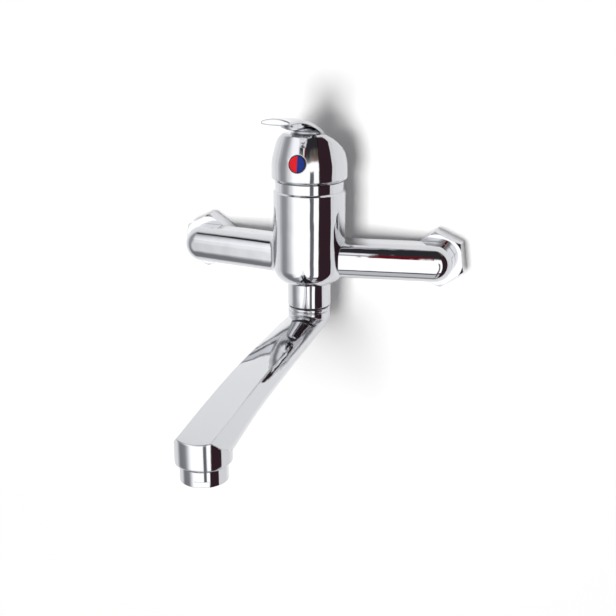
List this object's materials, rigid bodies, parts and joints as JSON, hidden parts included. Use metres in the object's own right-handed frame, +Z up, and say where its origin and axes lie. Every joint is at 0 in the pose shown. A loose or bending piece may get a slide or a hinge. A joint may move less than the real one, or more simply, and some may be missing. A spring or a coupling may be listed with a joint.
{
  "type": "wall-mounted single-lever basin mixer with a swivel spout",
  "caption": "Chromed wall-mounted basin mixer: upright body on two swept arms with union nuts, domed handle with a tongue-shaped lever, and a long swivel spout with an aerator.",
  "frame": {"origin": "midway between the two inlets, in the plane of the union nuts' wall ends", "axes": "+X towards the right-hand (cold) inlet, +Y into the wall, +Z up"},
  "size_m": [0.1815, 0.2043, 0.1605],
  "materials": {
    "chromed_brass": "mirror chrome plate on brass",
    "chromed_zinc": "mirror chrome plate on die-cast zinc",
    "plain_brass": "machined",
    "grey_acetal": "moulded",
    "white_acetal": "moulded",
    "alumina": "lapped",
    "black_rubber": "moulded",
    "stainless_steel": "drawn",
    "dark_abs": "moulded",
    "red_abs": "moulded",
    "blue_abs": "moulded"
  },
  "bodies": {
    "tap_body": {"body": "chromed_brass", "trim_ring": "chromed_brass", "cartridge_nut": "plain_brass", "cartridge_housing": "grey_acetal", "cartridge_base": "grey_acetal", "port_seals": "black_rubber", "disc_seals": "black_rubber", "fixed_disc": "alumina", "spout_nipple": "plain_brass", "spout_o_rings": "black_rubber", "spout_slip_washer": "white_acetal", "inlet_tail_left": "plain_brass", "inlet_tail_right": "plain_brass", "inlet_washer_left": "black_rubber", "inlet_washer_right": "black_rubber"},
    "rotor": {"cartridge_rotor": "white_acetal", "pivot_pin": "stainless_steel"},
    "lever": {"handle": "chromed_zinc", "cartridge_stem": "stainless_steel", "handle_screw": "stainless_steel", "indicator_plug": "dark_abs", "indicator_red": "red_abs", "indicator_blue": "blue_abs"},
    "ceramic_slide": {"moving_disc": "alumina", "disc_carrier": "white_acetal"},
    "swivel_spout": {"spout": "chromed_brass", "spout_set_screw": "stainless_steel", "aerator_housing": "chromed_brass", "aerator_insert": "white_acetal", "aerator_mesh": "stainless_steel", "aerator_washer": "black_rubber"},
    "left_union": {"union_nut_left": "chromed_brass"},
    "right_union": {"union_nut_right": "chromed_brass"}
  },
  "joints": [
    {"name": "handle_turn", "type": "hinge", "parent": "tap_body", "child": "rotor", "pos_m": [0, -0.03, 0.031], "axis": [0, 0, 1], "range_deg": [-50, 50]},
    {"name": "handle_lift", "type": "hinge", "parent": "rotor", "child": "lever", "pos_m": [0, -0.03, 0.031], "axis": [-1, 0, 0], "range_deg": [0, 25]},
    {"name": "disc_slide", "type": "slide", "parent": "rotor", "child": "ceramic_slide", "axis": [0, -1, 0], "range_m": [0, 0.0033]},
    {"name": "spout_swivel", "type": "hinge", "parent": "tap_body", "child": "swivel_spout", "pos_m": [0, -0.03, -0.035], "axis": [0, 0, 1], "range_deg": [-90, 90]},
    {"name": "left_union_spin", "type": "hinge", "parent": "tap_body", "child": "left_union", "pos_m": [-0.075, -0.006, 0], "axis": [0, 1, 0], "continuous": true},
    {"name": "right_union_spin", "type": "hinge", "parent": "tap_body", "child": "right_union", "pos_m": [0.075, -0.006, 0], "axis": [0, 1, 0], "continuous": true}
  ],
  "couplings": [
    {"joint": "disc_slide", "follows": "handle_lift", "m_per_rad": 0.007555}
  ]
}
